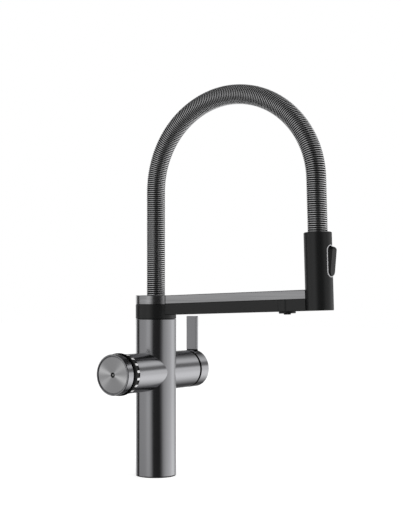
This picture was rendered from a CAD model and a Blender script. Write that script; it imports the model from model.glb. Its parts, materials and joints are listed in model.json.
import json
import math

import bpy
import numpy as np
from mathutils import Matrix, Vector


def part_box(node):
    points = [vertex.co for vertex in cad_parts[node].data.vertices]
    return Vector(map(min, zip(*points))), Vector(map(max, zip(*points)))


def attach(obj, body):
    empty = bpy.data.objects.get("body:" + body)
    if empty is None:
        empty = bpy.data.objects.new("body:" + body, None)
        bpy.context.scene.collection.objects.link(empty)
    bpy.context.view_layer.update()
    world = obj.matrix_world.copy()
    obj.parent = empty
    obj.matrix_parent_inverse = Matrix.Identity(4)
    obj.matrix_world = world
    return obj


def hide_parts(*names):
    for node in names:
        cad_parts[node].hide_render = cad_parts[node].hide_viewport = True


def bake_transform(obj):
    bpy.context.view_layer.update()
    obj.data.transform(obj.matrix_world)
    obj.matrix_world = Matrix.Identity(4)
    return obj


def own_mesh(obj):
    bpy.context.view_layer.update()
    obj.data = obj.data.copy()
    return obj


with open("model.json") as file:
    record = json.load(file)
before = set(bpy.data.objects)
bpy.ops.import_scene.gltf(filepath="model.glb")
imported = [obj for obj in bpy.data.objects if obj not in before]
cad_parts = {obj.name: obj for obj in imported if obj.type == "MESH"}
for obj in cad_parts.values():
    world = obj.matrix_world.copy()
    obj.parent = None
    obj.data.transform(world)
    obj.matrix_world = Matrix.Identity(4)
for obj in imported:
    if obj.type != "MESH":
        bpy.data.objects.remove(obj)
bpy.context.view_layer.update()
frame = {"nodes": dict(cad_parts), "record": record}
nodes = frame["nodes"]

MM = 0.001

# Sizes repeated from the part's source, in metres
ARM_RISE = math.radians(1.8)
ARM_Z = 197.65 * MM
REACH = 230 * MM
BARREL_Z = 128.3 * MM
COLUMN_R = 25 * MM
SEAT_Z = 214.25 * MM
HEAD_FLOOR = 77 * MM
SPRING_R = 11.6 * MM
JOINT_W = 1.2 * MM                 # the dark groove where the arm's cover meets its round end

# Where a finish changes, along X
RING_X = -70.5 * MM                # back of the dial's smooth black ring
BAND_X = -64.6 * MM                # back of the dial's band
GAP_START = 61.75 * MM             # the black line between the right barrel and the lever's cap
GAP_END = 65.65 * MM

# The hose and its spring as they really are
WIRE_R = 0.4 * MM                  # half of the wire's thickness
WIRE_HALF_W = 0.56 * MM            # half of its width along the hose
TURNS = 226
HOSE_R = 11.0 * MM

# Camera, as fitted to the photograph: its place in metres, and its lens in pixels of the photograph
PHOTO_W = 403
PHOTO_H = 508
SENSOR = 36.0                      # width of the camera's sensor in mm
FOCAL_PX = 1094.44
CENTRE_PX = (198.65, 298.09)
AZIMUTH = math.radians(-54.99)
CAMERA_BACK = 1.35508
CAMERA_SIDE = 0.05289
CAMERA_UP = 0.21889


def add(name, data):
    """A new object with this data, in the scene."""
    made = bpy.data.objects.new(name, data)
    bpy.context.scene.collection.objects.link(made)
    return made


# ---- Route of the hose ----

def from_arm(y, z):
    """A point of the arm's tilted frame as (distance in front of the column, height)."""
    c, s = math.cos(ARM_RISE), math.sin(ARM_RISE)
    return np.array([y * c - z * s, ARM_Z + y * s + z * c])


def bezier(p, t):
    """Points at t, from 0 to 1, of the curve with these four control points."""
    t = t[:, None]
    return (1 - t) ** 3 * p[0] + 3 * (1 - t) ** 2 * t * p[1] + 3 * (1 - t) * t ** 2 * p[2] + t ** 3 * p[3]


def hose_route():
    """Points of the hose's centre line in the row frame, and the distance reached at each. It goes
    straight up from its seat, over in two curves that meet at the top, and straight into the head."""
    top = np.array([110.9, 458.8]) * MM
    bend_start = np.array([0, 348.3]) * MM
    rise_handle = np.array([0, 416.9]) * MM
    back_handle = np.array([55.3 * MM, 0])
    front_handle = np.array([62 * MM, 0])
    fall_handle = from_arm(REACH, 206.65 * MM)
    bend_end = from_arm(REACH, 148.65 * MM)
    t = np.linspace(0, 1, 81)
    flat = np.concatenate([
        [[0, SEAT_Z]],
        bezier([bend_start, rise_handle, top - back_handle, top], t),
        bezier([top, top + front_handle, fall_handle, bend_end], t[1:]),
        [from_arm(REACH, HEAD_FLOOR)],
    ])
    points = np.stack([np.zeros(len(flat)), -flat[:, 0], flat[:, 1]], 1)
    steps = np.linalg.norm(np.diff(points, axis=0), axis=1)
    return points, np.concatenate([[0], np.cumsum(steps)])


ROUTE, REACHED = hose_route()
ROUTE_L = REACHED[-1]


def along_hose(length):
    """Centre points, directions and sideways directions of the hose at these distances."""
    def at(x):
        x = np.clip(x, 0, ROUTE_L)
        return np.stack([np.interp(x, REACHED, ROUTE[:, i]) for i in range(3)], 1)
    look = 3 * MM
    direction = at(length + look) - at(length - look)
    direction /= np.linalg.norm(direction, axis=1)[:, None]
    side = np.cross([1.0, 0, 0], direction)
    return at(length), direction, side


def tube(name, centres, outward, radius, sides, across):
    """A closed tube: a ring of points round each centre, in the plane of outward and across."""
    rings = len(centres)
    turn = 2 * math.pi * np.arange(sides) / sides
    radius = np.broadcast_to(radius, rings)[:, None, None]
    ring = np.cos(turn)[None, :, None] * outward[:, None] + np.sin(turn)[None, :, None] * across[:, None]
    points = (centres[:, None] + radius * ring).reshape(-1, 3)
    faces = [
        (i * sides + k, i * sides + (k + 1) % sides, (i + 1) * sides + (k + 1) % sides, (i + 1) * sides + k)
        for i in range(rings - 1) for k in range(sides)
    ]
    faces.append(tuple(range(sides - 1, -1, -1)))
    faces.append(tuple(range((rings - 1) * sides, rings * sides)))
    mesh = bpy.data.meshes.new(name)
    mesh.from_pydata(points.tolist(), [], faces)
    mesh.polygons.foreach_set("use_smooth", [True] * len(mesh.polygons))
    mesh.update()
    return add(name, mesh)


def hose_spring():
    """The open coil spring that the hose stands up in, of flattened wire, at its real number of turns."""
    steps_per_turn = 22
    sides = 10
    turn = np.linspace(0, TURNS, TURNS * steps_per_turn + 1)
    length = WIRE_HALF_W + (ROUTE_L - 2 * WIRE_HALF_W) * turn / TURNS
    centre, direction, side = along_hose(length)
    angle = 2 * math.pi * turn[:, None]
    outward = np.cos(angle) * np.array([1.0, 0, 0]) + np.sin(angle) * side
    centres = centre + (SPRING_R - WIRE_R) * outward
    return tube("spring_coil", centres, outward, WIRE_R, sides, direction * WIRE_HALF_W / WIRE_R)


def button_coil(low, high):
    """The coil spring behind the push button, between these corners of its box."""
    wire_r = 0.5 * MM
    turns = 4
    steps_per_turn = 24
    sides = 10
    turn = np.linspace(0, turns, turns * steps_per_turn + 1)
    x = low[0] + wire_r + (high[0] - low[0] - 2 * wire_r) * turn / turns
    angle = 2 * math.pi * turn
    outward = np.stack([np.zeros(len(turn)), np.cos(angle), np.sin(angle)], 1)
    centre = np.stack([x, np.zeros(len(turn)), np.full(len(turn), BARREL_Z)], 1)
    radius = (high[1] - low[1]) / 2 - wire_r
    across = np.tile([1.0, 0, 0], (len(turn), 1))
    return tube("button_coil", centre + radius * outward, outward, wire_r, sides, across)


def spray_hose():
    """The black sheath of the spray hose, which fills the spring and swells a little between its turns."""
    rings_per_turn = 4
    sides = 40
    swell = 0.08 * MM
    length = np.linspace(0, ROUTE_L, TURNS * rings_per_turn + 1)
    centre, _, side = along_hose(length)
    outward = np.tile([1.0, 0, 0], (len(length), 1))
    radius = HOSE_R - swell * (1 - np.cos(2 * math.pi * TURNS * length / ROUTE_L))
    return tube("hose_sheath", centre, outward, radius, sides, side)


# ---- Materials ----

class Finish:
    """A procedural material under construction."""

    def __init__(self, name, **values):
        self.material = bpy.data.materials.new(name)
        self.material.use_nodes = True
        self.tree = self.material.node_tree
        self.shader = self.tree.nodes["Principled BSDF"]
        for socket, value in values.items():
            self.shader.inputs[socket.replace("_", " ")].default_value = value
        self.place = self.node("ShaderNodeTexCoord").outputs["Object"]

    def node(self, kind, settings=None, **inputs):
        """A new node with these settings and inputs. An underscore stands for a space in a name."""
        made = self.tree.nodes.new(kind)
        for key, value in (settings or {}).items():
            setattr(made, key, value)
        for socket, value in inputs.items():
            self.feed(made.inputs[socket.replace("_", " ")], value)
        return made

    def feed(self, socket, value):
        """Links an output to a socket, or sets a constant on it."""
        if isinstance(value, bpy.types.NodeSocket):
            self.tree.links.new(value, socket)
        else:
            socket.default_value = value

    def math(self, operation, a, b=0.0):
        made = self.node("ShaderNodeMath", {"operation": operation})
        self.feed(made.inputs[0], a)
        self.feed(made.inputs[1], b)
        return made.outputs[0]

    def vector(self, operation, a, b=(0, 0, 0)):
        made = self.node("ShaderNodeVectorMath", {"operation": operation})
        self.feed(made.inputs[0], a)
        self.feed(made.inputs[1], b)
        return made.outputs["Value" if operation in ("LENGTH", "DOT_PRODUCT") else "Vector"]

    def noise(self, place, scale, detail=2.0, roughness=0.5):
        return self.node(
            "ShaderNodeTexNoise", Vector=place, Scale=scale, Detail=detail, Roughness=roughness
        ).outputs[0]

    def stretched(self, per_metre):
        """Coordinates in the row frame, scaled by this many features per metre along X, Y, Z."""
        return self.vector("MULTIPLY", self.place, per_metre)

    def along_x(self):
        return self.node("ShaderNodeSeparateXYZ", Vector=self.place).outputs["X"]

    def from_column(self):
        """Distance from the column's axis."""
        return self.vector("LENGTH", self.vector("MULTIPLY", self.place, (1, 1, 0)))

    def between(self, value, low, high):
        """1 where value is above low and below high, otherwise 0."""
        above = self.math("GREATER_THAN", value, low)
        return self.math("MULTIPLY", above, self.math("LESS_THAN", value, high))

    def spread(self, value, low, high, start=0.0, end=1.0):
        """Value from start..end as low..high."""
        return self.node(
            "ShaderNodeMapRange", Value=value, From_Min=start, From_Max=end, To_Min=low, To_Max=high
        ).outputs[0]

    def mix_colour(self, factor, a, b):
        made = self.node("ShaderNodeMix", {"data_type": "RGBA"})
        self.feed(made.inputs["Factor"], factor)
        for socket, colour in ((made.inputs[6], a), (made.inputs[7], b)):
            self.feed(socket, (*colour, 1) if isinstance(colour, tuple) else colour)
        return made.outputs[2]

    def mix_vector(self, factor, a, b):
        made = self.node("ShaderNodeMix", {"data_type": "VECTOR"})
        self.feed(made.inputs["Factor"], factor)
        self.feed(made.inputs[4], a)
        self.feed(made.inputs[5], b)
        return made.outputs[1]

    def bump(self, height, distance):
        return self.node("ShaderNodeBump", Height=height, Distance=distance, Strength=1.0).outputs[0]

    def set(self, socket, value):
        self.feed(self.shader.inputs[socket], value)

    def overlay(self, factor, colour):
        """Lays a colour over the base colour that the finish has so far."""
        under = self.shader.inputs["Base Color"].links[0].from_socket
        self.set("Base Color", self.mix_colour(factor, under, colour))


def scaled(colour, factor):
    return tuple(factor * c for c in colour)


METAL = (0.40, 0.40, 0.415)
DEEP_BLACK = (0.004, 0.004, 0.004)

# Grain of brushed metal: features per metre along X, Y, Z, many across the brushing and few along it
ROUND_Z = (25, 25, 5200)
ROUND_X = (5200, 25, 25)
ALONG_Y = (5200, 25, 5200)
ALONG_Z = (5200, 5200, 25)


def brushed(name, colour, roughness, grain):
    """Brushed metal, as a finish that can be worked on further."""
    f = Finish(name, Metallic=1.0)
    place = f.stretched(grain)
    lines = f.noise(place, 1.0, 3.0, 0.6)
    cloud = f.noise(f.place, 60.0, 3.0)
    f.set("Base Color", f.mix_colour(lines, scaled(colour, 0.94), scaled(colour, 1.05)))
    uneven = f.math("ADD", f.math("MULTIPLY", lines, 0.6), f.math("MULTIPLY", cloud, 0.4))
    f.set("Roughness", f.spread(uneven, roughness - 0.05, roughness + 0.05))
    f.set("Normal", f.bump(lines, 0.006 * MM))
    return f


def beside_gap(f):
    """Makes a finish black at the edges beside the lever's black ring."""
    f.overlay(f.between(f.along_x(), GAP_START, GAP_END), DEEP_BLACK)
    return f


def column_metal():
    """The column's grain runs round it, and the barrels' grain runs round them."""
    f = beside_gap(brushed("column_metal", METAL, 0.17, ROUND_Z))
    on_barrel = f.math("GREATER_THAN", f.from_column(), COLUMN_R + 0.3 * MM)
    place = f.mix_vector(on_barrel, f.stretched(ROUND_Z), f.stretched(ROUND_X))
    for texture in f.tree.nodes:
        if texture.type == "TEX_NOISE" and texture.inputs["Scale"].default_value == 1.0:
            f.feed(texture.inputs["Vector"], place)
    return f.material


def bar_metal():
    """The lever's bar, with polished bevels that stay darker than its brushed faces. The X and Y of a
    face's normal add up to 1, and those of a bevel to 1.4."""
    f = brushed("bar_metal", METAL, 0.26, ALONG_Z)
    normal = f.node("ShaderNodeNewGeometry").outputs["True Normal"]
    turned = f.vector("MULTIPLY", f.vector("ABSOLUTE", normal), (1, 1, 0))
    f.overlay(f.math("GREATER_THAN", f.vector("DOT_PRODUCT", turned, (1, 1, 0)), 1.2), (0.05, 0.05, 0.05))
    return f.material


def cover_metal():
    """The arm's cover, with long faint streaks in its brushing and a dark groove by its round end."""
    f = brushed("cover_metal", (0.52, 0.52, 0.53), 0.20, ALONG_Y)
    streaks = f.noise(f.stretched((420, 9, 420)), 1.0, 2.0)
    f.overlay(f.spread(streaks, 0.0, 0.5, start=0.4, end=0.65), (0.34, 0.34, 0.35))
    f.overlay(f.between(f.from_column(), COLUMN_R + 0.05 * MM, COLUMN_R + JOINT_W), DEEP_BLACK)
    return f.material


def spun_metal():
    """The button's face: fine rings from turning, with the pale rays that turned metal shows."""
    f = Finish("spun_metal", Metallic=1.0, Anisotropic=0.85)
    from_axis = f.vector("SUBTRACT", f.place, (0, 0, BARREL_Z))
    across = f.vector("MULTIPLY", from_axis, (0, 1, 1))
    radius = f.vector("LENGTH", across)
    outward = f.vector("NORMALIZE", across)
    rings = f.node("ShaderNodeTexNoise", {"noise_dimensions": "1D"}, W=radius, Scale=4200.0, Detail=3.0)
    rings = rings.outputs[0]
    f.set("Base Color", f.mix_colour(rings, (0.44, 0.44, 0.45), (0.53, 0.53, 0.54)))
    sharpness = 26.0
    for degrees, strength in ((163.0, 0.9), (35.0, 0.45)):
        turn = math.radians(degrees)
        along = f.vector("DOT_PRODUCT", outward, (0, -math.cos(turn), math.sin(turn)))
        ray = f.math("POWER", f.math("ABSOLUTE", along), sharpness)
        f.overlay(f.math("MULTIPLY", ray, strength), (0.92, 0.92, 0.93))
    f.set("Roughness", f.spread(rings, 0.24, 0.32))
    f.set("Normal", f.bump(rings, 0.004 * MM))
    f.set("Tangent", outward)
    return f.material


def plastic(name, colour, roughness, grain=2600.0, depth=0.006, gloss=0.5):
    """Moulded plastic with a very fine spark-eroded grain, which takes the gloss off its edges."""
    f = Finish(name)
    fine = f.noise(f.place, grain, 2.0)
    cloud = f.noise(f.place, 35.0, 3.0)
    f.set("Base Color", f.mix_colour(cloud, scaled(colour, 0.9), scaled(colour, 1.1)))
    f.set("Roughness", f.spread(f.math("MULTIPLY", fine, cloud), roughness - 0.03, roughness + 0.09))
    f.set("Normal", f.bump(fine, depth * MM))
    facing = f.node("ShaderNodeLayerWeight", Blend=0.5).outputs["Facing"]
    f.set("Specular IOR Level", f.spread(facing, gloss, 0.1 * gloss, start=0.4, end=0.8))
    return f.material


def dial_black():
    """The dial: a dull black band for the ticks, with a deep black groove behind it and ring before it."""
    f = Finish("dial_black", Specular_IOR_Level=0.1)
    fine = f.noise(f.place, 2600.0, 2.0)
    on_band = f.between(f.along_x(), RING_X, BAND_X)
    f.set("Base Color", f.mix_colour(on_band, (0.0015, 0.0015, 0.0015), (0.022, 0.022, 0.022)))
    f.set("Roughness", f.spread(fine, 0.45, 0.6))
    f.set("Normal", f.bump(fine, 0.006 * MM))
    return f.material


def satin(name, colour, roughness):
    """Pale satin plating, which looks light from every side."""
    f = Finish(name, Metallic=0.25)
    fine = f.noise(f.place, 2200.0, 3.0)
    f.set("Base Color", f.mix_colour(fine, scaled(colour, 0.95), scaled(colour, 1.05)))
    f.set("Roughness", f.spread(fine, roughness - 0.05, roughness + 0.05))
    f.set("Normal", f.bump(fine, 0.004 * MM))
    return f.material


def rubber():
    """Dull black rubber with a rough skin."""
    f = Finish("rubber", Specular_IOR_Level=0.06)
    fine = f.noise(f.place, 1500.0, 4.0, 0.7)
    f.set("Base Color", f.mix_colour(fine, (0.002, 0.002, 0.002), (0.006, 0.006, 0.006)))
    f.set("Roughness", f.spread(fine, 0.6, 0.8))
    f.set("Normal", f.bump(fine, 0.03 * MM))
    return f.material


def threaded(name, colour, roughness):
    """Machined metal, with a thread where it is further than the thread's root from the column's axis."""
    pitch = 1.5 * MM
    root_r = 16.2 * MM
    depth = 1.6 * MM
    f = Finish(name, Metallic=1.0)
    split = f.node("ShaderNodeSeparateXYZ", Vector=f.place)
    angle = f.math("ARCTAN2", split.outputs["Y"], split.outputs["X"])
    turns = f.math("DIVIDE", angle, 2 * math.pi)
    rise = f.math("DIVIDE", split.outputs["Z"], pitch)
    phase = f.math("FRACT", f.math("ADD", rise, turns))
    ridge = f.math("PINGPONG", phase, 0.5)
    outside = f.math("GREATER_THAN", f.from_column(), root_r)
    marks = f.noise(f.stretched((40, 40, 2500)), 1.0, 3.0)
    f.set("Base Color", f.mix_colour(marks, scaled(colour, 0.85), colour))
    f.set("Roughness", f.spread(marks, roughness - 0.06, roughness + 0.08))
    f.set("Normal", f.bump(f.math("MULTIPLY", ridge, outside), depth))
    return f.material


def sheath():
    """The hose's sheath: black plastic braid under the spring."""
    f = Finish("sheath", Specular_IOR_Level=0.1)
    weave = f.noise(f.place, 900.0, 2.0)
    f.set("Base Color", f.mix_colour(weave, (0.003, 0.003, 0.003), (0.008, 0.008, 0.008)))
    f.set("Roughness", f.spread(weave, 0.7, 0.9))
    f.set("Normal", f.bump(weave, 0.05 * MM))
    return f.material


def spring_metal():
    """Bright drawn wire."""
    f = Finish("spring_metal", Metallic=1.0)
    drawn = f.noise(f.stretched((900, 900, 900)), 1.0, 3.0, 0.6)
    f.set("Base Color", f.mix_colour(drawn, (0.86, 0.86, 0.87), (0.96, 0.96, 0.97)))
    f.set("Roughness", f.spread(drawn, 0.16, 0.26))
    f.set("Normal", f.bump(drawn, 0.004 * MM))
    return f.material


# Nodes with a finish of their own. The others take their material slot's.
finishes = {
    "column_body": column_metal(),
    "lever_cap": beside_gap(brushed("cap_metal", METAL, 0.17, ROUND_X)).material,
    "lever_bar": bar_metal(),
    "arm_cover": cover_metal(),
    "button_cup": brushed("cup_metal", METAL, 0.18, ROUND_X).material,
    "button_face": spun_metal(),
    "dial_ring": dial_black(),
    "dial_ticks": satin("tick_satin", (0.80, 0.80, 0.80), 0.4),
    "button_lens": plastic("lens_grey", (0.13, 0.13, 0.13), 0.2, 900.0, 0.001),
    "selector_bezel": satin("bezel_satin", (0.70, 0.70, 0.71), 0.4),
    "selector_paddle": plastic("paddle_black", (0.0030, 0.0031, 0.0032), 0.30, gloss=0.28),
}
by_slot = {
    "gunmetal": finishes["lever_cap"],
    "silver": brushed("silver_metal", (0.72, 0.72, 0.73), 0.22, ROUND_Z).material,
    "steel": brushed("steel_metal", (0.60, 0.60, 0.62), 0.28, ROUND_Z).material,
    "brass": threaded("brass_metal", (0.72, 0.57, 0.30), 0.30),
    "black_plastic": plastic("black_plastic", (0.0070, 0.0072, 0.0074), 0.30, gloss=0.48),
    "gloss_black": plastic("gloss_black", (0.0015, 0.0015, 0.0015), 0.10, 900.0, 0.001, 0.15),
    "nylon": plastic("nylon", (0.78, 0.78, 0.74), 0.45),
    "rubber": rubber(),
}
slots = {s["node"]: s["material_slot"] for s in frame["record"]["subparts"]}
for name, part in nodes.items():
    finish = finishes.get(name, by_slot[slots[name]])
    part.data.materials.clear()
    part.data.materials.append(finish)

# ---- Pieces in place of the simple CAD forms ----

coil = hose_spring()
coil.data.materials.append(spring_metal())
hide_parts("hose_spring")

hose = spray_hose()
hose.data.materials.append(sheath())
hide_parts("spray_hose")

# The spring shortens by the button's travel, towards the button
low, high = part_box("button_spring")
spring = button_coil(low, high)
spring.data.materials.append(by_slot["steel"])
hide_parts("button_spring")
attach(spring, "button")
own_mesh(spring)

# The hose bends between the arm and the spray head, over the length of its arch
for piece in (coil, hose):
    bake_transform(piece)


# ---- Studio ----

def studio_level(bearing, height):
    """Brightness that the studio shows in polished metal. bearing is from the camera, positive to its
    right, and height is above the horizon, both in degrees. Behind the tap it is the white background,
    at each side a soft panel, and the camera's own side is dark. Each list gives (degrees, level):
    around by bearing, and the other three by height."""
    around = [
        (-180, 1.0), (-142, 1.0), (-130, 0.08), (-112, 0.02), (-103, 0.50), (-72, 0.53), (-58, 0.56),
        (-46, 0.70), (-35, 0.68), (-22, 0.32), (-13, 0.04), (25, 0.03), (36, 0.18), (47, 0.47),
        (58, 0.58), (75, 0.70), (90, 0.82), (108, 1.08), (122, 1.08), (136, 0.66), (152, 0.6),
        (168, 0.95), (180, 1.0),
    ]
    right = [
        (-90, 0.2), (-46, 0.1), (-40, 0.45), (-34, 0.8), (-22, 1.2), (-12, 1.2), (-4, 1.0), (5, 1.0),
        (11, 0.24), (19, 0.22), (25, 0.85), (33, 0.9), (40, 0.15), (90, 0.1),
    ]
    behind = [(-90, 0.2), (-36, 0.1), (-24, 0.15), (-12, 0.7), (0, 1.0), (12, 0.5), (22, 0.1), (90, 0.02)]
    left = [
        (-90, 0.1), (-50, 0.2), (-20, 0.5), (-8, 1.0), (14, 1.0), (30, 0.7), (50, 0.6), (66, 0.3), (90, 0.1),
    ]
    level = np.interp(bearing, *zip(*around))
    to_right = np.interp(bearing, [45, 65, 138, 155], [0, 1, 1, 0])
    to_back = np.interp(abs(bearing), [138, 155], [0, 1])
    to_left = np.interp(bearing, [-110, -90, -34, -22], [0, 1, 1, 0])
    level *= (
        to_right * np.interp(height, *zip(*right)) + to_back * np.interp(height, *zip(*behind))
        + to_left * np.interp(height, *zip(*left)) + (1 - to_right - to_back - to_left)
    )
    overhead = np.clip((abs(height) - 50) / 25, 0, 1)
    return level * (1 - overhead) + 0.1 * overhead


def studio_dome():
    """A dome seen only in reflections."""
    columns, rows, radius = 240, 120, 4.0
    points, faces, levels = [], [], []
    for j in range(rows + 1):
        height = -90 + 180 * j / rows
        for i in range(columns):
            bearing = -180 + 360 * i / columns
            turn = AZIMUTH + math.radians(bearing)
            flat = math.cos(math.radians(height))
            points.append((
                radius * math.sin(turn) * flat, -radius * math.cos(turn) * flat,
                radius * math.sin(math.radians(height)) + BARREL_Z,
            ))
            levels.append(float(studio_level(bearing, height)))
    for j in range(rows):
        for i in range(columns):
            k = (i + 1) % columns
            faces.append((j * columns + i, j * columns + k, (j + 1) * columns + k, (j + 1) * columns + i))
    mesh = bpy.data.meshes.new("studio_dome")
    mesh.from_pydata(points, [], faces)
    shade = mesh.attributes.new("level", "FLOAT", "POINT")
    shade.data.foreach_set("value", levels)
    dome = add("studio_dome", mesh)
    material = bpy.data.materials.new("studio_light")
    material.use_nodes = True
    tree = material.node_tree
    tree.nodes.clear()
    level = tree.nodes.new("ShaderNodeAttribute")
    level.attribute_name = "level"
    glow = tree.nodes.new("ShaderNodeEmission")
    out = tree.nodes.new("ShaderNodeOutputMaterial")
    tree.links.new(level.outputs["Fac"], glow.inputs["Strength"])
    tree.links.new(glow.outputs[0], out.inputs["Surface"])
    mesh.materials.append(material)
    for ray in ("camera", "diffuse", "transmission", "volume_scatter", "shadow"):
        setattr(dome, "visible_" + ray, False)


def floor():
    """A white floor just under the column's foot, which keeps the shadow. It is clear from below."""
    size = 6.0
    z = -0.05 * MM
    corners = [(-size, -size, z), (size, -size, z), (size, size, z), (-size, size, z)]
    mesh = bpy.data.meshes.new("floor")
    mesh.from_pydata(corners, [], [(0, 1, 2, 3)])
    made = add("floor", mesh)
    material = bpy.data.materials.new("floor_white")
    material.use_nodes = True
    tree = material.node_tree
    tree.nodes.clear()
    diffuse = tree.nodes.new("ShaderNodeBsdfDiffuse")
    diffuse.inputs["Color"].default_value = (0.6, 0.6, 0.6, 1)
    glow = tree.nodes.new("ShaderNodeEmission")
    glow.inputs["Strength"].default_value = 0.6
    clear = tree.nodes.new("ShaderNodeBsdfTransparent")
    side = tree.nodes.new("ShaderNodeNewGeometry")
    both = tree.nodes.new("ShaderNodeAddShader")
    mix = tree.nodes.new("ShaderNodeMixShader")
    out = tree.nodes.new("ShaderNodeOutputMaterial")
    tree.links.new(diffuse.outputs[0], both.inputs[0])
    tree.links.new(glow.outputs[0], both.inputs[1])
    tree.links.new(side.outputs["Backfacing"], mix.inputs["Fac"])
    tree.links.new(both.outputs[0], mix.inputs[1])
    tree.links.new(clear.outputs[0], mix.inputs[2])
    tree.links.new(mix.outputs[0], out.inputs["Surface"])
    mesh.materials.append(material)
    made.visible_glossy = False


def world_light():
    """Plain white all round: full strength to the camera and in reflections, a little less as light."""
    world = bpy.data.worlds.new("studio")
    bpy.context.scene.world = world
    world.use_nodes = True
    tree = world.node_tree
    background = tree.nodes["Background"]
    path = tree.nodes.new("ShaderNodeLightPath")
    seen = path.outputs["Is Camera Ray"]
    for ray in ("Is Glossy Ray", "Is Transmission Ray"):
        both = tree.nodes.new("ShaderNodeMath")
        both.operation = "MAXIMUM"
        tree.links.new(seen, both.inputs[0])
        tree.links.new(path.outputs[ray], both.inputs[1])
        seen = both.outputs[0]
    strength = tree.nodes.new("ShaderNodeMapRange")
    strength.inputs["To Min"].default_value = 0.75
    strength.inputs["To Max"].default_value = 1.0
    tree.links.new(seen, strength.inputs["Value"])
    tree.links.new(strength.outputs[0], background.inputs["Strength"])
    background.inputs["Color"].default_value = (1, 1, 1, 1)


def lamp(name, bearing, height, distance, size, power):
    """A soft lamp aimed at the arm, placed by bearing from the camera and height above the horizon, both
    in degrees. Its power is in watts. The dome stands for it in reflections."""
    data = bpy.data.lights.new(name, "AREA")
    data.shape = "RECTANGLE"
    data.size, data.size_y = size
    data.energy = power
    made = add(name, data)
    turn = AZIMUTH + math.radians(bearing)
    rise = math.radians(height)
    aim = Vector((0, -60 * MM, 200 * MM))
    back = Vector((math.sin(turn) * math.cos(rise), -math.cos(turn) * math.cos(rise), math.sin(rise)))
    made.location = aim + back * distance
    made.rotation_euler = (-back).to_track_quat("-Z", "Y").to_euler()
    made.visible_glossy = False


def camera():
    """The camera, level and at the photograph's angle."""
    data = bpy.data.cameras.new("camera")
    data.sensor_width = SENSOR
    data.lens = FOCAL_PX / PHOTO_H * SENSOR
    data.shift_x = (PHOTO_W / 2 - CENTRE_PX[0]) / PHOTO_H
    data.shift_y = (CENTRE_PX[1] - PHOTO_H / 2) / PHOTO_H
    data.clip_end = 50
    made = add("camera", data)
    back = Vector((math.sin(AZIMUTH), -math.cos(AZIMUTH), 0))
    right = Vector((math.cos(AZIMUTH), math.sin(AZIMUTH), 0))
    made.location = back * CAMERA_BACK + right * CAMERA_SIDE + Vector((0, 0, CAMERA_UP))
    made.rotation_euler = (-back).to_track_quat("-Z", "Y").to_euler()
    bpy.context.scene.camera = made


studio_dome()
floor()
world_light()
lamp("left_high", bearing=-92, height=14, distance=1.6, size=(0.5, 0.35), power=6)
lamp("left_low", bearing=-100, height=-9, distance=1.6, size=(0.4, 0.25), power=3)
lamp("right_soft", bearing=115, height=20, distance=1.8, size=(0.9, 0.9), power=6)
lamp("top_soft", bearing=30, height=70, distance=1.8, size=(1.2, 1.2), power=8)
camera()
bpy.context.scene.view_settings.view_transform = "Standard"
